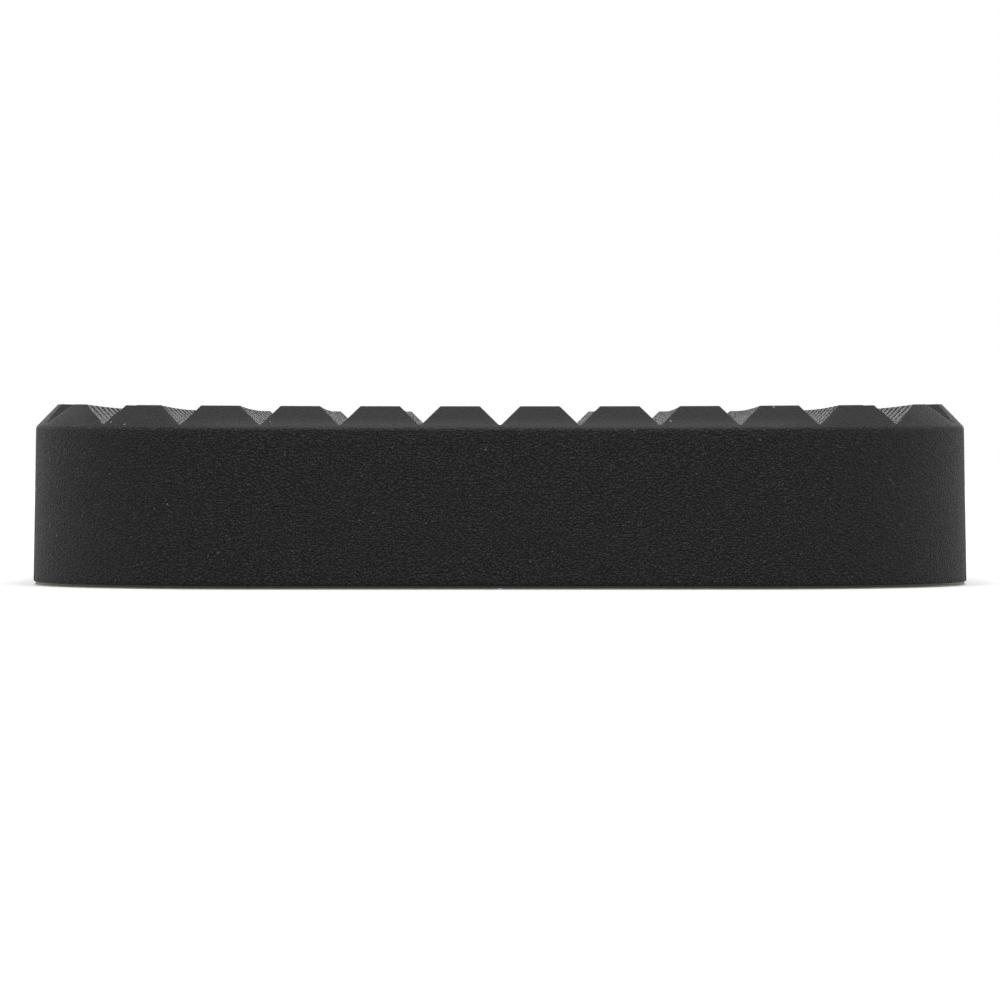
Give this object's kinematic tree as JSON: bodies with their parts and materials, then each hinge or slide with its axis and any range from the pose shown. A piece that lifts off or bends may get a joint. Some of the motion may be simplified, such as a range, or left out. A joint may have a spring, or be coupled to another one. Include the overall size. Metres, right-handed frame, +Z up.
{
  "type": "snowboard stomp pad",
  "caption": "Rounded rectangular moulded foam pad with a field of flat-topped studs, backed by double-coated tape and a split release liner, for a boot to grip on a snowboard.",
  "frame": {"origin": "middle of the liner's underside, on the surface that the pad lies on", "axes": "+X along the pad's long side, +Y along its short side, +Z up out of the studs"},
  "size_m": [0.0726, 0.0606, 0.0138],
  "materials": {
    "moulded_foam": "matt black foam with a fine leather grain on the wall",
    "acrylic_adhesive": "dark tacky film",
    "carrier_film": "smooth dark film",
    "liner_paper": "smooth coated paper"
  },
  "bodies": {
    "root": {"foam_pad": "moulded_foam", "pad_adhesive": "acrylic_adhesive", "carrier_film": "carrier_film", "board_adhesive": "acrylic_adhesive", "liner_left": "liner_paper", "liner_right": "liner_paper"}
  },
  "joints": []
}
